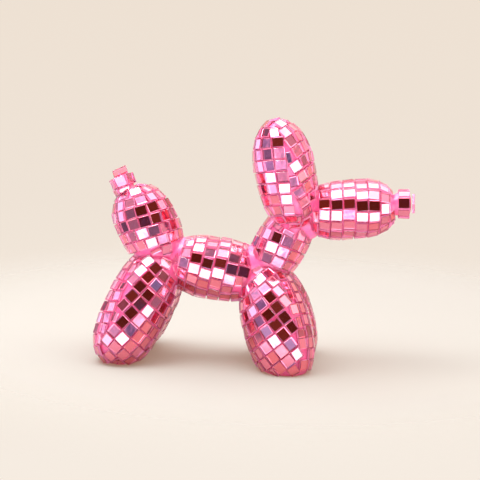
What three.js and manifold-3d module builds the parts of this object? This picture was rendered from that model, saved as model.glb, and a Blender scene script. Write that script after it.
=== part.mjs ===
// Twisted-balloon poodle: one solid casting, as it measures over its layer of glued mirror tiles.
// Every balloon lobe is a lathe form about its own axis. The lobes are joined into one closed body
// and the feet are ground flat. Millimetres, +Z up, +X to the nose, origin under the middle, at the floor.
import * as THREE from "three";
import { mergeVertices } from "three/addons/utils/BufferGeometryUtils.js";
import Module from "manifold-3d";

const wasm = await Module();
wasm.setup();

// Driving dimensions
const sidesAround = 26; // facets round a lobe
const ringsToWaist = 8; // facet rows from a lobe's end to its widest station
const knotSides = 16;
const webSides = 16;
const soleDepth = 60; // slab that grinds the feet flat at z = 0
const originShift = 7.23; // from the fitting-up origin to the middle of the base

// A lobe is widest at `at`, with its axis at `rise` degrees from +X in the side view and leaning
// `splay` degrees out of the middle plane, to the left side of the dog (-Y).
// It reaches `back` towards its root and `ahead` towards its free end; fullness 2 is an ellipse.
const snout = {
  at: [49.8, 0, 73.1], rise: 7, splay: 0, radius: 13.5,
  back: 22, ahead: 22.3, backFullness: 2.9, aheadFullness: 3.4,
};
const neck = {
  at: [19.1, 0, 55.5], rise: 61, splay: 0, radius: 12,
  back: 19.8, ahead: 19, backFullness: 2.6, aheadFullness: 2.6,
};
const body = {
  at: [-10.2, 0, 42.6], rise: -6.5, splay: 0, radius: 14.7,
  back: 25, ahead: 25, backFullness: 2.6, aheadFullness: 2.4,
};
const tail = {
  at: [-43.2, 0, 61.1], rise: 119, splay: 0, radius: 14.4,
  back: 23, ahead: 20.8, backFullness: 2, aheadFullness: 2.5,
};
const leftEar = {
  at: [20.2, -9.5, 93.2], rise: 102.5, splay: 6, radius: 13.5,
  back: 29.8, ahead: 21.8, backFullness: 3.1, aheadFullness: 2.1,
};
const leftHindLeg = {
  at: [-45.3, -10, 25.9], rise: 247, splay: 20.5, radius: 15,
  back: 30.4, ahead: 31.8, backFullness: 2.4, aheadFullness: 3.2,
};
const leftFrontLeg = {
  at: [19, -11.5, 21.2], rise: 289.5, splay: 18, radius: 15.6,
  back: 29, ahead: 30.8, backFullness: 2, aheadFullness: 2.5,
};
// The right ear and legs mirror the left ones, a little out of true as twisted balloons are.
const rightEarOffset = [-1, 0, -2.5];
const rightFrontLegOffset = [-1.2, 0, 0];

// The tied ends: short stubs with a flat end, nearly cylinders
const nose = {
  at: [74.2, 0, 76.7], rise: 2, splay: 0, radius: 6.6,
  back: 6, ahead: 5.2, backFullness: 6, aheadFullness: 8,
};
const tailKnot = {
  at: [-55.5, 0, 81.9], rise: 110, splay: 0, radius: 5.5,
  back: 8, ahead: 8.2, backFullness: 6, aheadFullness: 8,
};

// Smooth webs that fill the hollows where the lobes meet
const webs = [
  { at: [-26, 0, 46.5], radius: 10.5 }, // hip
  { at: [9.5, 0, 45], radius: 11 }, // chest
  { at: [30, 0, 66.5], radius: 9 }, // throat
];

const degrees = Math.PI / 180;

function axisOf(lobe) {
  const rise = lobe.rise * degrees;
  const splay = lobe.splay * degrees;
  const along = Math.cos(splay);
  return new THREE.Vector3(Math.cos(rise) * along, -Math.sin(splay), Math.sin(rise) * along);
}

// Radius over distance from the widest station: radius * sqrt(1 - |t|^fullness).
// Rows are spaced by a sine, so they crowd where the end curves in.
function lobeProfile(lobe) {
  const points = [];
  for (let row = -ringsToWaist; row <= ringsToWaist; row += 1) {
    const t = Math.sin((row / ringsToWaist) * (Math.PI / 2));
    const reach = t < 0 ? lobe.back : lobe.ahead;
    const fullness = t < 0 ? lobe.backFullness : lobe.aheadFullness;
    const atEnd = Math.abs(row) === ringsToWaist;
    const across = atEnd ? 0 : lobe.radius * Math.sqrt(1 - Math.abs(t) ** fullness);
    points.push(new THREE.Vector2(across, t * reach));
  }
  return points;
}

function lobeGeometry(lobe, sides) {
  const geometry = new THREE.LatheGeometry(lobeProfile(lobe), sides);
  const turn = new THREE.Quaternion().setFromUnitVectors(new THREE.Vector3(0, 1, 0), axisOf(lobe));
  geometry.applyQuaternion(turn);
  geometry.translate(...lobe.at);
  return geometry;
}

function solidOf(geometry) {
  const bare = geometry.clone();
  bare.deleteAttribute("normal");
  bare.deleteAttribute("uv");
  const merged = mergeVertices(bare, 1e-4);
  const mesh = new wasm.Mesh({
    numProp: 3,
    vertProperties: new Float32Array(merged.attributes.position.array),
    triVerts: new Uint32Array(merged.index.array),
  });
  return new wasm.Manifold(mesh);
}

function mirrored(lobe, offset) {
  const geometry = lobeGeometry(lobe, sidesAround);
  const solid = solidOf(geometry).mirror([0, 1, 0]);
  return solid.translate(offset);
}

function poodleSolid() {
  let solid = solidOf(lobeGeometry(body, sidesAround));
  for (const lobe of [snout, neck, tail, leftEar, leftHindLeg, leftFrontLeg]) {
    solid = solid.add(solidOf(lobeGeometry(lobe, sidesAround)));
  }
  solid = solid.add(mirrored(leftEar, rightEarOffset));
  solid = solid.add(mirrored(leftHindLeg, [0, 0, 0]));
  solid = solid.add(mirrored(leftFrontLeg, rightFrontLegOffset));
  for (const knot of [nose, tailKnot]) {
    solid = solid.add(solidOf(lobeGeometry(knot, knotSides)));
  }
  for (const web of webs) {
    const ball = new THREE.SphereGeometry(web.radius, webSides, webSides / 2);
    ball.translate(...web.at);
    solid = solid.add(solidOf(ball));
  }
  const floorSlab = new THREE.BoxGeometry(400, 400, soleDepth);
  floorSlab.translate(0, 0, -soleDepth / 2);
  return solid.subtract(solidOf(floorSlab)).translate([-originShift, 0, 0]);
}

function geometryOf(solid) {
  const mesh = solid.getMesh();
  const geometry = new THREE.BufferGeometry();
  geometry.setAttribute("position", new THREE.BufferAttribute(mesh.vertProperties, 3));
  geometry.setIndex(new THREE.BufferAttribute(mesh.triVerts, 1));
  geometry.computeVertexNormals();
  return geometry;
}

const pinkMosaic = new THREE.MeshStandardMaterial({ color: "#f08fbc", roughness: 0.25, metalness: 0.3 });

const poodle = new THREE.Mesh(geometryOf(poodleSolid()), pinkMosaic);
poodle.name = "balloon_poodle";

const model = new THREE.Group();
model.add(poodle);

export default model;
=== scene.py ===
# Balloon-twist poodle: cast pink resin under a skin of small square mirror tiles, in a pale studio.
import math
import random

import bmesh
import bpy
from mathutils import Matrix, Vector


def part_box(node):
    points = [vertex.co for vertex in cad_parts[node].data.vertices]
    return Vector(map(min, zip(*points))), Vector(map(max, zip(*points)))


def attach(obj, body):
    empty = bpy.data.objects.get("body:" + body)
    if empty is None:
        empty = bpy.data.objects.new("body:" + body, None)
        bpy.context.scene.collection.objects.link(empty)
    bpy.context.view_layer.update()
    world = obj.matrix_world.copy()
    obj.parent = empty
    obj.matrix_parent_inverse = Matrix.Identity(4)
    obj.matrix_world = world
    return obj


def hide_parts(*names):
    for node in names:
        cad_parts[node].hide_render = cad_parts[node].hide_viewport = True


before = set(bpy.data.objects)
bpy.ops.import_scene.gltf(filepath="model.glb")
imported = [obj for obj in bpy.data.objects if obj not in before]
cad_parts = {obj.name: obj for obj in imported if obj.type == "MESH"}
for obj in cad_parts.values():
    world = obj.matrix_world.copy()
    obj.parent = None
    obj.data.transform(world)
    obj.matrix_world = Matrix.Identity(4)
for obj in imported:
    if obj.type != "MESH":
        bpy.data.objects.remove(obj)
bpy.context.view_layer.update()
castLow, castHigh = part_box("balloon_poodle")
mm = 0.001
# every place below is in mm from the middle of the base of the casting's box
baseMiddle = Vector(((castLow.x + castHigh.x) / 2, (castLow.y + castHigh.y) / 2, castLow.z))


def direction(rise, splay):
    # rise turns up from +X in the side view, splay leans out to the dog's left (-Y)
    riseAngle, splayAngle = math.radians(rise), math.radians(splay)
    along = math.cos(splayAngle)
    return Vector((math.cos(riseAngle) * along, -math.sin(splayAngle), math.sin(riseAngle) * along))


def shaped(lobe):
    # a lobe is a lathe form, r = radius * sqrt(1 - |t| ** fullness), about a leaning axis
    made = dict(lobe)
    made["at"] = Vector(lobe["at"])
    made["axis"] = direction(lobe["rise"], lobe["splay"])
    made.setdefault("face", -1)
    return made


def mirrored(lobe, offset):
    # the same lobe on the dog's right side, a little out of true
    flip = dict(lobe)
    x, y, z = lobe["at"]
    flip["at"] = (x + offset[0], -y + offset[1], z + offset[2])
    flip["splay"] = -lobe["splay"]
    flip["face"] = 1
    flip["patches"] = []
    for patch in lobe["patches"]:
        other = dict(patch)
        px, py, pz = patch["start"]
        other["start"] = (px + offset[0], -py + offset[1], pz + offset[2])
        other["splay"] = -patch["splay"]
        first, last = patch["tiles"]
        other["tiles"] = (-last, -first)
        other["shifts"] = {course: -shift for course, shift in patch.get("shifts", {}).items()}
        other["slant"] = -patch.get("slant", 0)
        flip["patches"].append(other)
    return flip


def surfaceValue(lobe, point):
    # 0 on the lobe's surface, negative inside it, and the outward slope there
    away = point - lobe["at"]
    along = away.dot(lobe["axis"])
    across = away - along * lobe["axis"]
    reach = lobe["ahead"] if along > 0 else -lobe["back"]
    fullness = lobe["aheadFullness"] if along > 0 else lobe["backFullness"]
    t = along / reach
    value = across.length_squared / lobe["radius"] ** 2 + t ** fullness - 1
    slope = across * (2 / lobe["radius"] ** 2)
    slope += lobe["axis"] * (fullness * t ** (fullness - 1) / reach)
    return value, slope


def depthInside(lobe, point):
    value, slope = surfaceValue(lobe, point)
    return -value / max(slope.length, 1e-6)


def ontoSurface(lobe, point):
    for _ in range(4):
        value, slope = surfaceValue(lobe, point)
        point = point - slope * (value / max(slope.length_squared, 1e-9))
    return point


tile = {
    "long": 4.98,  # craft mirror squares are 5 mm, cut a little short one way
    "short": 4.68,
    "longPitch": 5.74,
    "shortPitch": 5.38,
    "thick": 1.2,
    "chamfer": 0.16,  # ground edge round the face
    "turnJitter": 1.6,  # degrees, in the plane of the surface
    "tiltJitter": 2.4,  # degrees, out of it
    "shiftJitter": 0.1,
    "liftJitter": 0.06,
    "cuts": ((1, 1), (0.75, 1), (1, 0.75), (0.5, 1), (1, 0.5)),  # part tiles that close the last gaps
    "ground": 2.0,  # how much of a tile may be ground off with the flat of the foot
    "touch": 0.08,  # how far two tiles may share an edge before the second is left off
    "sunk": 0.5,  # how deep a corner may sit in the next lobe
    "webCover": 2.2,  # how deep in a web a tile's middle may sit
    "clear": 0.2,  # how far outside the next lobe a tile's middle stays
    "stubDepth": 1.8,  # the tied stubs stand in the lobe they end, tiles and all
    "reach": 7.2,  # tiles whose middles are further apart never touch
    "lowestMiddle": 0.5,  # no tile's middle lies lower over the floor
    "sole": 0.02,  # the feet are ground flat here, tiles and all
    "poleRoom": 0.15,  # no course runs closer to the end of its axis than this sine
    "searchEnds": 0.97,  # how far along a lobe bare places are looked for
}


def courseFrame(lobe, point, courseAxis):
    # outward, along the course and across it
    outward = surfaceValue(lobe, point)[1].normalized()
    along = courseAxis.cross(outward)
    if along.length < tile["poleRoom"]:
        return None
    along.normalize()
    return outward, along, outward.cross(along)


def step(lobe, point, courseAxis, distance, acrossCourse):
    # walks over the surface in short strides, so the distance is measured along the curve
    strides = 4
    for _ in range(strides):
        here = courseFrame(lobe, point, courseAxis)
        if here is None:
            return None
        way = here[2] if acrossCourse else here[1]
        point = ontoSurface(lobe, point + way * (distance / strides))
    return point


def tileAt(lobe, point, courseAxis, longAcross, rng):
    here = courseFrame(lobe, point, courseAxis)
    if here is None:
        return None
    outward, along, across = here
    turn = Matrix.Rotation(math.radians(rng.gauss(0, tile["turnJitter"])), 3, outward)
    lean = Matrix.Rotation(math.radians(rng.gauss(0, tile["tiltJitter"])), 3, along)
    nod = Matrix.Rotation(math.radians(rng.gauss(0, tile["tiltJitter"])), 3, across)
    turned = nod @ lean @ turn
    slide = along * rng.uniform(-1, 1) + across * rng.uniform(-1, 1)
    middle = point + slide * tile["shiftJitter"] + outward * rng.uniform(-1, 1) * tile["liftJitter"]
    halfLong, halfShort = tile["long"] / 2, tile["short"] / 2
    return {
        "middle": middle,
        "outward": turned @ outward,
        "along": turned @ along,
        "across": turned @ across,
        "halfAlong": halfShort if longAcross else halfLong,
        "halfAcross": halfLong if longAcross else halfShort,
        "tone": rng.random(),
        "stub": tile["stubDepth"] if "endTile" in lobe else 0.0,
    }


def faceCorners(one, inset=0.0, depth=0.0):
    ha, hc = one["halfAlong"] - inset, one["halfAcross"] - inset
    base = one["middle"] - one["outward"] * depth
    signs = ((-1, -1), (1, -1), (1, 1), (-1, 1))
    return [base + one["along"] * (ha * i) + one["across"] * (hc * j) for i, j in signs]


def overlap(a, b):
    gap = b["middle"] - a["middle"]
    if gap.length > tile["reach"]:
        return False
    for way in (a["along"], a["across"], b["along"], b["across"]):
        reach = 0.0
        for one in (a, b):
            reach += one["halfAlong"] * abs(one["along"].dot(way))
            reach += one["halfAcross"] * abs(one["across"].dot(way))
        if abs(gap.dot(way)) > reach - tile["touch"]:
            return False
    return True


def aroundAngle(lobe, point):
    # degrees round the lobe from its outer face towards the nose (+X)
    away = point - lobe["at"]
    away -= lobe["axis"] * away.dot(lobe["axis"])
    near = Vector((0, lobe["face"], 0))
    near = (near - lobe["axis"] * near.dot(lobe["axis"])).normalized()
    forward = Vector((1, 0, 0))
    forward -= lobe["axis"] * forward.dot(lobe["axis"]) + near * forward.dot(near)
    return math.degrees(math.atan2(away.dot(forward.normalized()), away.dot(near)))


def fits(one, laid, neighbours):
    corners = faceCorners(one)
    if min(corner.z for corner in corners) < -tile["ground"] or one["middle"].z < tile["lowestMiddle"]:
        return False
    for other in neighbours:
        if depthInside(other, one["middle"]) > one["stub"] - tile["clear"]:
            return False
        if any(depthInside(other, corner) > tile["sunk"] + 2 * one["stub"] for corner in corners):
            return False
    for web in webs:
        if web["radius"] - (one["middle"] - web["at"]).length > tile["webCover"]:
            return False
    return not any(overlap(one, other) for other in laid)


def layPatch(lobe, patch, laid, neighbours, rng):
    courseAxis = direction(patch["rise"], patch["splay"])
    longAcross = patch.get("longAcross", False)
    coursePitch = tile["longPitch"] if longAcross else tile["shortPitch"]
    tilePitch = tile["shortPitch"] if longAcross else tile["longPitch"]
    start = ontoSurface(lobe, Vector(patch["start"]))
    firstCourse, lastCourse = patch["courses"]
    firstTile, lastTile = patch["tiles"]
    low, high = patch.get("around", (-180, 180))
    for up in (1, -1):
        spine = start
        for course in range(0 if up > 0 else 1, (lastCourse if up > 0 else -firstCourse) + 1):
            if course:
                spine = step(lobe, spine, courseAxis, up * coursePitch, True)
            if spine is None:
                break
            number = course * up
            shift = patch.get("shifts", {}).get(number, 0) + patch.get("slant", 0) * number
            head = step(lobe, spine, courseAxis, shift, False)
            for way in (1, -1):
                point = head
                for place in range(0 if way > 0 else 1, (lastTile if way > 0 else -firstTile) + 1):
                    if place and point is not None:
                        point = step(lobe, point, courseAxis, way * tilePitch, False)
                    if point is None:
                        break
                    one = tileAt(lobe, point, courseAxis, longAcross, rng)
                    here = aroundAngle(lobe, point)
                    if one and low <= here <= high and fits(one, laid, neighbours):
                        laid.append(one)


def fillGaps(lobe, laid, neighbours, rng):
    # any bare place that still takes a whole tile gets one, and then any that takes a cut one
    side = lobe["axis"].cross(Vector((0.3, 1, 0.2))).normalized()
    stations, turns = 40, 64
    spots = []
    for i in range(stations):
        t = tile["searchEnds"] * (2 * i / (stations - 1) - 1)
        reach = lobe["ahead"] if t > 0 else lobe["back"]
        for j in range(turns):
            spoke = Matrix.Rotation(2 * math.pi * j / turns, 3, lobe["axis"]) @ side
            inside = lobe["at"] + lobe["axis"] * (t * reach) + spoke * lobe["radius"] * 0.6
            spots.append(ontoSurface(lobe, inside))
    for cutAlong, cutAcross in tile["cuts"]:
        for spot in spots:
            if nearest(spot, laid) < tile["short"] * min(cutAlong, cutAcross) / 2 + tile["short"] / 2:
                continue
            one = tileAt(lobe, spot, lobe["axis"], False, rng)
            if one:
                one["halfAlong"] *= cutAlong
                one["halfAcross"] *= cutAcross
                if fits(one, laid, neighbours):
                    laid.append(one)


def nearest(spot, laid):
    return min(((one["middle"] - spot).length for one in laid), default=math.inf)


def tileMesh(name, laid):
    # a clear block with a ground edge round its face, sawn sides and a silvered back
    verts, polygons, slots, tones = [], [], [], []
    for one in laid:
        base = len(verts)
        rings = (
            faceCorners(one, 0, tile["thick"]),
            faceCorners(one, 0, tile["chamfer"]),
            faceCorners(one, tile["chamfer"], 0),
        )
        for ring in rings:
            for corner in ring:
                corner.z = max(corner.z, tile["sole"])
                verts.append(corner * mm + baseMiddle)
        polygons.append([base + 3, base + 2, base + 1, base])
        slots.append(0)
        for level in (0, 4):
            low = base + level
            for i in range(4):
                j = (i + 1) % 4
                polygons.append([low + i, low + j, low + 4 + j, low + 4 + i])
                slots.append(1 if level else 2)
        polygons.append([base + 8, base + 9, base + 10, base + 11])
        slots.append(1)
        tones.extend([one["tone"]] * 10)
    mesh = bpy.data.meshes.new(name)
    mesh.from_pydata(verts, [], polygons)
    mesh.polygons.foreach_set("material_index", slots)
    tone = mesh.attributes.new("tileTone", "FLOAT", "FACE")
    tone.data.foreach_set("value", tones)
    mesh.update()
    return mesh


# The dog's lobes, and how each one is tiled.
# A patch is laid in courses round its own axis (rise, splay), out from the tile at start.

snout = {
    "at": (42.57, 0, 73.1), "rise": 7, "splay": 0, "radius": 13.5,
    "back": 22, "ahead": 22.3, "backFullness": 2.9, "aheadFullness": 3.4,
    "patches": [
        {
            "rise": 1.5, "splay": -7.3, "start": (43.7, -13.5, 72.8), "longAcross": True,
            "courses": (-2, 3), "tiles": (-8, 8),
            "shifts": {-2: 0.6, -1: 0.7, 1: 1.1, 2: 1.0, 3: -2.3},
        },
    ],
}
neck = {
    "at": (11.87, 0, 55.5), "rise": 61, "splay": 0, "radius": 12,
    "back": 19.8, "ahead": 19, "backFullness": 2.6, "aheadFullness": 2.6,
    "patches": [
        {
            "rise": 69.5, "splay": -11, "start": (16, -11.6, 58.8),
            "courses": (-4, 3), "tiles": (-7, 7),
        },
    ],
}
body = {
    "at": (-17.43, 0, 42.6), "rise": -6.5, "splay": 0, "radius": 14.7,
    "back": 25, "ahead": 25, "backFullness": 2.6, "aheadFullness": 2.4,
    "patches": [
        {
            "rise": -12, "splay": -4.2, "start": (-20.2, -13.9, 47.6), "longAcross": True,
            "courses": (-3, 4), "tiles": (-8, 8),
            "shifts": {-2: 2.1, -1: -1.5, 1: -1.7},
        },
    ],
}
tail = {
    "at": (-50.43, 0, 61.1), "rise": 119, "splay": 0, "radius": 14.4,
    "back": 23, "ahead": 20.8, "backFullness": 2, "aheadFullness": 2.5,
    "patches": [
        {
            "rise": 109.5, "splay": -5.5, "start": (-49.6, -14, 65.7),
            "courses": (-5, 4), "tiles": (-8, 8), "shifts": {-1: -2.8, 2: 1.5},
        },
    ],
}
leftEar = {
    "at": (12.97, -9.5, 93.2), "rise": 102.5, "splay": 6, "radius": 13.5,
    "back": 29.8, "ahead": 21.8, "backFullness": 3.1, "aheadFullness": 2.1,
    "patches": [
        {
            "rise": 97, "splay": -8, "start": (13.9, -22.7, 89.9),
            "courses": (-5, 2), "tiles": (-4, 0), "slant": -0.3,
        },
        {
            "rise": 130, "splay": -6, "start": (18.6, -21.3, 86.9),
            "courses": (-6, 6), "tiles": (-4, 4), "around": (4, 95),
        },
        {
            "rise": 97, "splay": -8, "start": (13.9, -22.7, 89.9),
            "courses": (-5, 5), "tiles": (-4, 1), "slant": -0.3,
        },
        {
            "rise": 102.5, "splay": 6, "start": (12, 3, 93),
            "courses": (-6, 5), "tiles": (-7, 7),
        },
    ],
}
leftHindLeg = {
    "at": (-52.53, -10, 25.9), "rise": 247, "splay": 20.5, "radius": 15,
    "back": 30.4, "ahead": 31.8, "backFullness": 2.4, "aheadFullness": 3.2,
    "patches": [
        {
            "rise": 48, "splay": -12, "start": (-45.8, -22, 33.4), "longAcross": True,
            "courses": (-6, 6), "tiles": (-5, 6), "around": (-27, 75),
        },
        {
            "rise": 91.5, "splay": -9.9, "start": (-57.9, -24.9, 27.7),
            "courses": (-6, 6), "tiles": (-4, 1), "slant": 1.8,
        },
        {
            "rise": 67, "splay": -20.5, "start": (-50, 5, 27),
            "courses": (-6, 6), "tiles": (-8, 8),
        },
    ],
}
leftFrontLeg = {
    "at": (11.77, -11.5, 21.2), "rise": 289.5, "splay": 18, "radius": 15.6,
    "back": 29, "ahead": 30.8, "backFullness": 2, "aheadFullness": 2.5,
    "patches": [
        {
            "rise": 131, "splay": -6, "start": (13.1, -27, 23.9), "longAcross": True,
            "courses": (-6, 7), "tiles": (-6, 6), "around": (-80, 42),
        },
        {
            "rise": 109, "splay": -16, "start": (19.0, -18.3, 34.3),
            "courses": (-7, 5), "tiles": (-1, 5),
        },
        {
            "rise": 109.5, "splay": -18, "start": (12, 4, 22),
            "courses": (-6, 6), "tiles": (-8, 8),
        },
    ],
}
nose = {
    "at": (66.97, 0, 76.7), "rise": 2, "splay": 0, "radius": 6.6,
    "back": 6, "ahead": 5.2, "backFullness": 6, "aheadFullness": 8,
    "patches": [
        {
            "rise": 2, "splay": -4, "start": (67.8, -6.4, 78.2), "longAcross": True,
            "courses": (0, 0), "tiles": (-3, 3),
        },
    ],
    "endTile": {"size": 6.2, "lift": 0.4, "turn": 38, "offset": 0.5, "lean": 3, "bed": 0},
}
tailKnot = {
    "at": (-62.73, 0, 81.9), "rise": 110, "splay": 0, "radius": 5.5,
    "back": 8, "ahead": 8.2, "backFullness": 6, "aheadFullness": 8,
    "patches": [
        {
            "rise": 112, "splay": -6, "start": (-62.7, -5.5, 82.3),
            "courses": (-1, 0), "tiles": (-3, 3), "shifts": {-1: 0.4},
        },
    ],
    "endTile": {"size": 6.8, "lift": -3.4, "turn": 20, "offset": 0, "lean": 26, "bed": 4.4},
}
# smooth webs that fill the hollows where the lobes meet
webs = [
    {"at": Vector((-33.23, 0, 46.5)), "radius": 10.5},  # hip
    {"at": Vector((2.27, 0, 45)), "radius": 11},  # chest
    {"at": Vector((22.77, 0, 66.5)), "radius": 9},  # throat
    {"at": Vector((-63.1, 0, 82.9)), "radius": 2.9},  # bead that the square on the tail's knot sits on
]

lobes = {
    "snout": shaped(snout),
    "neck": shaped(neck),
    "body": shaped(body),
    "tail": shaped(tail),
    "left_ear": shaped(leftEar),
    "right_ear": shaped(mirrored(leftEar, (-1, 0, -2.5))),
    "left_hind_leg": shaped(leftHindLeg),
    "right_hind_leg": shaped(mirrored(leftHindLeg, (0, 0, 0))),
    "left_front_leg": shaped(leftFrontLeg),
    "right_front_leg": shaped(mirrored(leftFrontLeg, (-1.2, 0, 0))),
    "nose": shaped(nose),
    "tail_knot": shaped(tailKnot),
}


def endTileOf(lobe, rng):
    # one square stuck on the flat end of a tied stub
    facts = lobe["endTile"]
    top = lobe["at"] + lobe["axis"] * (lobe["ahead"] + facts["lift"])
    turn = Matrix.Rotation(math.radians(facts["turn"]), 3, lobe["axis"])
    side = turn @ lobe["axis"].cross(Vector((0, 1, 0)))
    side.normalize()
    # it leans towards the dog's left
    lean = Matrix.Rotation(math.radians(facts["lean"]), 3, "X")
    outward = lean @ lobe["axis"]
    side = lean @ side
    return {
        "middle": top + side * facts["offset"],
        "outward": outward,
        "along": side,
        "across": outward.cross(side),
        "halfAlong": facts["size"] / 2,
        "halfAcross": facts["size"] / 2,
        "tone": rng.random(),
    }


def linear(hexColour):
    channels = [int(hexColour[i:i + 2], 16) / 255 for i in (1, 3, 5)]
    return [c / 12.92 if c <= 0.04045 else ((c + 0.055) / 1.055) ** 2.4 for c in channels] + [1.0]


def addNode(tree, kind, settings=None, links=None):
    node = tree.nodes.new(kind)
    for name, value in (settings or {}).items():
        if isinstance(name, int) or name in node.inputs:
            node.inputs[name].default_value = value
        else:
            setattr(node, name, value)
    for name, output in (links or {}).items():
        tree.links.new(output, node.inputs[name])
    return node


def newMaterial(name):
    material = bpy.data.materials.new(name)
    material.use_nodes = True
    tree = material.node_tree
    tree.nodes.clear()
    return material, tree


def silveredBack():
    # silver under a rosy lacquer on the back of each tile: the room shows in it, sharp but a little wavy
    facts = {"tint": "#fb8290", "paleTint": "#ff9cbc", "roughness": 0.03, "wave": 3.5, "waveHeight": 0.012}
    material, tree = newMaterial("silvered_back")
    place = addNode(tree, "ShaderNodeTexCoord")
    tone = addNode(tree, "ShaderNodeAttribute", {"attribute_name": "tileTone"})
    tint = addNode(
        tree, "ShaderNodeMix", {"data_type": "RGBA", 6: linear(facts["tint"]), 7: linear(facts["paleTint"])},
        {0: tone.outputs["Fac"]},
    )
    # slight waves in the sheet, a few mm long, that bend the reflection inside a tile
    wave = addNode(
        tree, "ShaderNodeTexNoise", {"Scale": 1 / (facts["wave"] * mm), "Detail": 1.0},
        {"Vector": place.outputs["Object"]},
    )
    bump = addNode(
        tree, "ShaderNodeBump", {"Strength": 1.0, "Distance": facts["waveHeight"] * mm},
        {"Height": wave.outputs["Fac"]},
    )
    shader = addNode(
        tree, "ShaderNodeBsdfPrincipled", {"Metallic": 1.0, "Roughness": facts["roughness"]},
        {"Base Color": tint.outputs[2], "Normal": bump.outputs["Normal"]},
    )
    addNode(tree, "ShaderNodeOutputMaterial", links={"Surface": shader.outputs["BSDF"]})
    return material


def clearPinkGlass():
    # float glass with the faintest pink in it, polished: a wet shine over the silver and a bright ground rim
    material, tree = newMaterial("clear_pink_glass")
    shader = addNode(
        tree, "ShaderNodeBsdfPrincipled",
        {"Base Color": linear("#ffeef4"), "Roughness": 0.015, "IOR": 1.5, "Transmission Weight": 1.0},
    )
    addNode(tree, "ShaderNodeOutputMaterial", links={"Surface": shader.outputs["BSDF"]})
    return material


def sawnPinkEdge():
    # the sawn sides of a block, wet with pink glue: pale, half frosted, they glow round each mirror
    material, tree = newMaterial("sawn_pink_edge")
    shader = addNode(
        tree, "ShaderNodeBsdfPrincipled",
        {"Base Color": linear("#ff9ec6"), "Roughness": 0.25, "IOR": 1.5, "Transmission Weight": 0.4},
    )
    addNode(tree, "ShaderNodeOutputMaterial", links={"Surface": shader.outputs["BSDF"]})
    return material


def castPinkResin():
    # polyester cast in a rubber mould: smooth semi-gloss, light sinks in a little
    facts = {"deep": "#f04e88", "pale": "#fb78a6", "roughness": 0.24, "cloud": 9, "unevenness": 0.05}
    material, tree = newMaterial("cast_pink_resin")
    place = addNode(tree, "ShaderNodeTexCoord")
    cloud = addNode(
        tree, "ShaderNodeTexNoise", {"Scale": 1 / (facts["cloud"] * mm), "Detail": 2.0},
        {"Vector": place.outputs["Object"]},
    )
    tint = addNode(
        tree, "ShaderNodeMix", {"data_type": "RGBA", 6: linear(facts["deep"]), 7: linear(facts["pale"])},
        {0: cloud.outputs["Fac"]},
    )
    bump = addNode(
        tree, "ShaderNodeBump", {"Strength": 0.6, "Distance": facts["unevenness"] * mm},
        {"Height": cloud.outputs["Fac"]},
    )
    shader = addNode(
        tree, "ShaderNodeBsdfPrincipled",
        {"Roughness": facts["roughness"], "IOR": 1.55, "Subsurface Weight": 0.3, "Subsurface Scale": 2 * mm},
        {"Base Color": tint.outputs[2], "Normal": bump.outputs["Normal"]},
    )
    addNode(tree, "ShaderNodeOutputMaterial", links={"Surface": shader.outputs["BSDF"]})
    return material


resin = {
    "inset": 1.3,  # how far the casting lies under the tile faces
    "webInset": 0.4,
    "voxel": 0.85,
    "filletPasses": 5,
    "around": 40,
    "along": 28,
}


def addLobeTo(bm, lobe):
    # a ball pushed out to the lobe's profile, a little inside the tile faces
    ball = bmesh.ops.create_uvsphere(bm, u_segments=resin["around"], v_segments=resin["along"], radius=1)
    turn = lobe["axis"].to_track_quat("Z", "Y").to_matrix()
    for vert in ball["verts"]:
        t = vert.co.z
        reach = lobe["ahead"] if t > 0 else lobe["back"]
        fullness = lobe["aheadFullness"] if t > 0 else lobe["backFullness"]
        ring = math.sqrt(max(1 - t * t, 1e-9))
        across = (lobe["radius"] - resin["inset"]) * math.sqrt(max(1 - abs(t) ** fullness, 0)) / ring
        reach -= resin["inset"] + (lobe.get("endTile", {}).get("bed", 0) if t > 0 else 0)
        local = Vector((vert.co.x * across, vert.co.y * across, t * reach))
        vert.co = (lobe["at"] + turn @ local) * mm + baseMiddle


def castingMesh():
    bm = bmesh.new()
    for lobe in lobes.values():
        addLobeTo(bm, lobe)
    for web in webs:
        place = Matrix.Translation(web["at"] * mm + baseMiddle)
        radius = (web["radius"] - resin["webInset"]) * mm
        bmesh.ops.create_uvsphere(bm, u_segments=32, v_segments=20, radius=radius, matrix=place)
    rough = bpy.data.meshes.new("rough_casting")
    bm.to_mesh(rough)
    bm.free()
    worker = bpy.data.objects.new("rough_casting", rough)
    bpy.context.collection.objects.link(worker)
    remesh = worker.modifiers.new("one_skin", "REMESH")
    remesh.mode = "VOXEL"
    remesh.voxel_size = resin["voxel"] * mm
    fillet = worker.modifiers.new("fillets", "SMOOTH")
    fillet.factor = 0.5
    fillet.iterations = resin["filletPasses"]
    done = bpy.data.meshes.new_from_object(worker.evaluated_get(bpy.context.evaluated_depsgraph_get()))
    bpy.data.objects.remove(worker)
    # the soles are ground flat
    bm = bmesh.new()
    bm.from_mesh(done)
    whole = bm.verts[:] + bm.edges[:] + bm.faces[:]
    bmesh.ops.bisect_plane(bm, geom=whole, plane_co=baseMiddle, plane_no=(0, 0, 1), clear_inner=True)
    bmesh.ops.holes_fill(bm, edges=[edge for edge in bm.edges if edge.is_boundary])
    for face in bm.faces:
        face.smooth = True
    bm.to_mesh(done)
    bm.free()
    return done


backSilver = silveredBack()
blockGlass = clearPinkGlass()
sawnEdge = sawnPinkEdge()
castResin = castPinkResin()

core = bpy.data.objects.new("resin_casting", castingMesh())
core.data.materials.clear()
core.data.materials.append(castResin)
bpy.context.collection.objects.link(core)
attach(core, "root")
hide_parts("balloon_poodle")
print("casting:", len(core.data.polygons), "faces")

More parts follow.
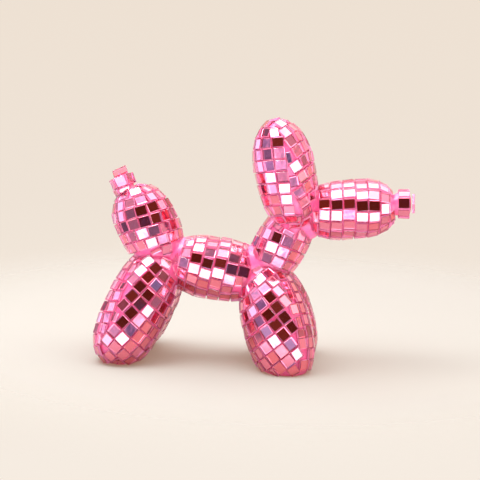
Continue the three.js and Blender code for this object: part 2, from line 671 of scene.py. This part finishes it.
laidCount = 0
for lobeName, lobe in lobes.items():
    rng = random.Random("tiles " + lobeName)
    neighbours = [other for name, other in lobes.items() if name != lobeName]
    laid = []
    for patch in lobe["patches"]:
        layPatch(lobe, patch, laid, neighbours, rng)
    if "endTile" in lobe:
        laid.append(endTileOf(lobe, rng))
    else:
        fillGaps(lobe, laid, neighbours, rng)
    tiles = bpy.data.objects.new("tiles_" + lobeName, tileMesh("tiles_" + lobeName, laid))
    tiles.data.materials.append(backSilver)
    tiles.data.materials.append(blockGlass)
    tiles.data.materials.append(sawnEdge)
    bpy.context.collection.objects.link(tiles)
    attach(tiles, "root")
    laidCount += len(laid)
    print("tiles on", lobeName, len(laid))
print("tiles in all:", laidCount)


studio = {
    "floorColour": "#888a85",
    # the floor's glow is painted fill light, an even emission that lifts the shadow under the dog
    "floorPaintedFill": 0.28,
    "floorPaintedFillColour": "#ffc8a8",
    "floorFull": 0.13,  # m from its middle, solid up to here
    "floorEnd": 0.25,  # and faded out here
    "floorBack": 0.08,  # how far its middle lies behind the dog
    "strength": 6.35,
    "clutterSeed": 13.6,
}


def makeFloor():
    # a pale round table top that fades into the pale room at its edge
    bm = bmesh.new()
    bmesh.ops.create_circle(bm, cap_ends=True, segments=96, radius=studio["floorEnd"] + 0.01)
    mesh = bpy.data.meshes.new("floor")
    bm.to_mesh(mesh)
    bm.free()
    floor = bpy.data.objects.new("floor", mesh)
    bpy.context.collection.objects.link(floor)
    floor.location = baseMiddle + Vector((0, studio["floorBack"], 0))
    material, tree = newMaterial("matt_paper_floor")
    place = addNode(tree, "ShaderNodeTexCoord")
    span = addNode(tree, "ShaderNodeVectorMath", {"operation": "LENGTH"}, {0: place.outputs["Object"]})
    fade = addNode(
        tree, "ShaderNodeMapRange",
        {"interpolation_type": "SMOOTHSTEP", "From Min": studio["floorFull"], "From Max": studio["floorEnd"]},
        {"Value": span.outputs["Value"]},
    )
    paper = addNode(tree, "ShaderNodeBsdfDiffuse", {"Color": linear(studio["floorColour"])})
    # painted fill light: the paper glows a little of itself, which lifts the shadow and keeps it soft and
    # warm
    glow = addNode(
        tree, "ShaderNodeEmission",
        {"Color": linear(studio["floorPaintedFillColour"]), "Strength": studio["floorPaintedFill"]},
    )
    lit = addNode(tree, "ShaderNodeAddShader", links={0: paper.outputs["BSDF"], 1: glow.outputs["Emission"]})
    clear = addNode(tree, "ShaderNodeBsdfTransparent")
    mixed = addNode(
        tree, "ShaderNodeMixShader",
        links={0: fade.outputs["Result"], 1: lit.outputs["Shader"], 2: clear.outputs["BSDF"]},
    )
    addNode(tree, "ShaderNodeOutputMaterial", links={"Surface": mixed.outputs["Shader"]})
    mesh.materials.append(material)


def ramp(tree, stops, source):
    # stops: elevation in degrees and a colour; the source runs 0 to 1 with the sine of elevation
    node = addNode(tree, "ShaderNodeValToRGB", links={"Fac": source})
    for i, (elevation, colour) in enumerate(stops):
        at = (math.sin(math.radians(elevation)) + 1) / 2
        stop = node.color_ramp.elements[i] if i < 2 else node.color_ramp.elements.new(at)
        stop.position = at
        stop.color = (*colour, 1)
    return node


def makeRoom():
    # a pale room with a wide lamp overhead, a dim place in front and a low white table edge beyond it
    world = bpy.data.worlds.new("studio")
    bpy.context.scene.world = world
    world.use_nodes = True
    tree = world.node_tree
    tree.nodes.clear()
    place = addNode(tree, "ShaderNodeTexCoord")
    axes = addNode(tree, "ShaderNodeSeparateXYZ", links={"Vector": place.outputs["Generated"]})
    level = addNode(
        tree, "ShaderNodeMapRange", {"From Min": -1.0, "From Max": 1.0}, {"Value": axes.outputs["Z"]},
    )
    # the room isn't tidy: edges of lamp and card wander by a few degrees
    clutter = addNode(
        tree, "ShaderNodeTexNoise", {"Scale": 5.0, "Detail": 2.0}, {"Vector": place.outputs["Generated"]},
    )
    wander = addNode(
        tree, "ShaderNodeMapRange", {"To Min": -0.07, "To Max": 0.07}, {"Value": clutter.outputs["Fac"]},
    )
    height = addNode(
        tree, "ShaderNodeMath", {"operation": "ADD"},
        {0: level.outputs["Result"], 1: wander.outputs["Result"]},
    )
    beige = (0.154, 0.133, 0.114)
    white = (0.93, 0.97, 1.0)
    pearl = (0.15, 0.17, 0.20)
    violet = (0.10, 0.18, 0.25)
    dusk = (0.035, 0.06, 0.085)
    dark = (0.027, 0.010, 0.005)
    frontStops = [
        (-90, beige), (-48, beige), (-36, white), (1, white), (6, pearl), (10, violet), (14, dusk),
        (18, dark), (49, dark), (53, dusk), (57, violet), (61, pearl), (66, white), (90, white),
    ]
    glow = (0.30, 0.27, 0.25)
    haze = (0.55, 0.53, 0.51)
    backStops = [(-90, beige), (12, beige), (28, glow), (42, haze), (62, white), (90, white)]
    front = ramp(tree, frontStops, height.outputs["Value"])
    back = ramp(tree, backStops, height.outputs["Value"])
    # small cool shadows all round, so that neighbouring tiles differ
    things = addNode(
        tree, "ShaderNodeTexNoise",
        {"noise_dimensions": "4D", "W": studio["clutterSeed"], "Scale": 8.0, "Detail": 1.0},
        {"Vector": place.outputs["Generated"]},
    )
    shadows = addNode(tree, "ShaderNodeValToRGB", links={"Fac": things.outputs["Fac"]})
    shadows.color_ramp.elements[0].position = 0.37
    shadows.color_ramp.elements[0].color = (0.06, 0.07, 0.09, 1)
    shadows.color_ramp.elements[1].position = 0.53
    shadows.color_ramp.elements.new(0.45).color = (0.19, 0.22, 0.30, 1)
    shadedFront = addNode(
        tree, "ShaderNodeMix", {"data_type": "RGBA", "blend_type": "MULTIPLY", 0: 1.0},
        {6: front.outputs["Color"], 7: shadows.outputs["Color"]},
    )
    # no part of the room is quite black
    busyFront = addNode(
        tree, "ShaderNodeMix",
        {"data_type": "RGBA", "blend_type": "LIGHTEN", 0: 1.0, 7: (0.016, 0.006, 0.003, 1)},
        {6: shadedFront.outputs[2]},
    )
    walls = addNode(
        tree, "ShaderNodeMix", {"data_type": "RGBA", "blend_type": "MULTIPLY", 0: 0.6},
        {6: back.outputs["Color"], 7: shadows.outputs["Color"]},
    )
    facing = addNode(
        tree, "ShaderNodeMapRange", {"interpolation_type": "SMOOTHSTEP", "From Min": -0.15, "From Max": -0.5},
        {"Value": axes.outputs["Y"]},
    )
    room = addNode(
        tree, "ShaderNodeMix", {"data_type": "RGBA"},
        {0: facing.outputs["Result"], 6: walls.outputs[2], 7: busyFront.outputs[2]},
    )
    # a cool window to the left
    windowSide = addNode(
        tree, "ShaderNodeMapRange",
        {"interpolation_type": "SMOOTHSTEP", "From Min": -0.55, "From Max": -0.85},
        {"Value": axes.outputs["X"]},
    )
    window = addNode(
        tree, "ShaderNodeMix",
        {"data_type": "RGBA", "blend_type": "MULTIPLY", 0: 1.0, 6: (0.30, 0.35, 0.43, 1)},
        {7: shadows.outputs["Color"]},
    )
    lit = addNode(
        tree, "ShaderNodeMix", {"data_type": "RGBA"},
        {0: windowSide.outputs["Result"], 6: room.outputs[2], 7: window.outputs[2]},
    )
    roomLight = addNode(
        tree, "ShaderNodeBackground", {"Strength": studio["strength"]}, {"Color": lit.outputs[2]},
    )
    # what the camera sees behind the table: pale card, a touch darker and warmer higher up, painted shade of
    # the sweep
    cardStops = [(-18, "#f6ece1"), (-14, "#f4e9dc"), (-8.5, "#efe3d6"), (-1, "#eee1d3")]
    card = ramp(tree, [(at, linear(tone)[:3]) for at, tone in cardStops], level.outputs["Result"])
    cardLight = addNode(tree, "ShaderNodeBackground", {"Strength": 1.0}, {"Color": card.outputs["Color"]})
    path = addNode(tree, "ShaderNodeLightPath")
    mixed = addNode(
        tree, "ShaderNodeMixShader",
        links={
            0: path.outputs["Is Camera Ray"],
            1: roomLight.outputs["Background"],
            2: cardLight.outputs["Background"],
        },
    )
    addNode(tree, "ShaderNodeOutputWorld", links={"Surface": mixed.outputs["Shader"]})


keyLamp = {"at": (-160, -60, 420), "size": 220, "watts": 1.3, "aim": (0, 0, 40)}


def makeKeyLamp():
    data = bpy.data.lights.new("key_softbox", "AREA")
    data.shape = "SQUARE"
    data.size = keyLamp["size"] * mm
    data.energy = keyLamp["watts"]
    lamp = bpy.data.objects.new("key_softbox", data)
    bpy.context.collection.objects.link(lamp)
    lamp.location = Vector(keyLamp["at"]) * mm + baseMiddle
    aim = Vector(keyLamp["aim"]) * mm + baseMiddle - lamp.location
    lamp.rotation_mode = "QUATERNION"
    lamp.rotation_quaternion = aim.to_track_quat("-Z", "Y")


view = {
    "azimuth": 7, "elevation": 10, "roll": 1.5,  # degrees
    "distance": 700,
    "lookAt": (-7.2, 0, 56.6),
    "lens": 113.2,
}


def makeCamera():
    azimuth, elevation, roll = (math.radians(view[key]) for key in ("azimuth", "elevation", "roll"))
    ahead = Vector((
        -math.sin(azimuth) * math.cos(elevation),
        math.cos(azimuth) * math.cos(elevation),
        -math.sin(elevation),
    ))
    level = Vector((math.cos(azimuth), math.sin(azimuth), 0))
    upright = level.cross(ahead)
    right = level * math.cos(roll) + upright * math.sin(roll)
    up = upright * math.cos(roll) - level * math.sin(roll)
    data = bpy.data.cameras.new("camera")
    data.sensor_width = 36
    data.lens = view["lens"]
    camera = bpy.data.objects.new("camera", data)
    bpy.context.collection.objects.link(camera)
    camera.rotation_mode = "QUATERNION"
    camera.rotation_quaternion = Matrix((right, up, -ahead)).transposed().to_quaternion()
    camera.location = Vector(view["lookAt"]) * mm + baseMiddle - ahead * view["distance"] * mm
    bpy.context.scene.camera = camera


makeFloor()
makeRoom()
makeKeyLamp()
makeCamera()
bpy.context.scene.view_settings.view_transform = "Standard"
print("studio ready")
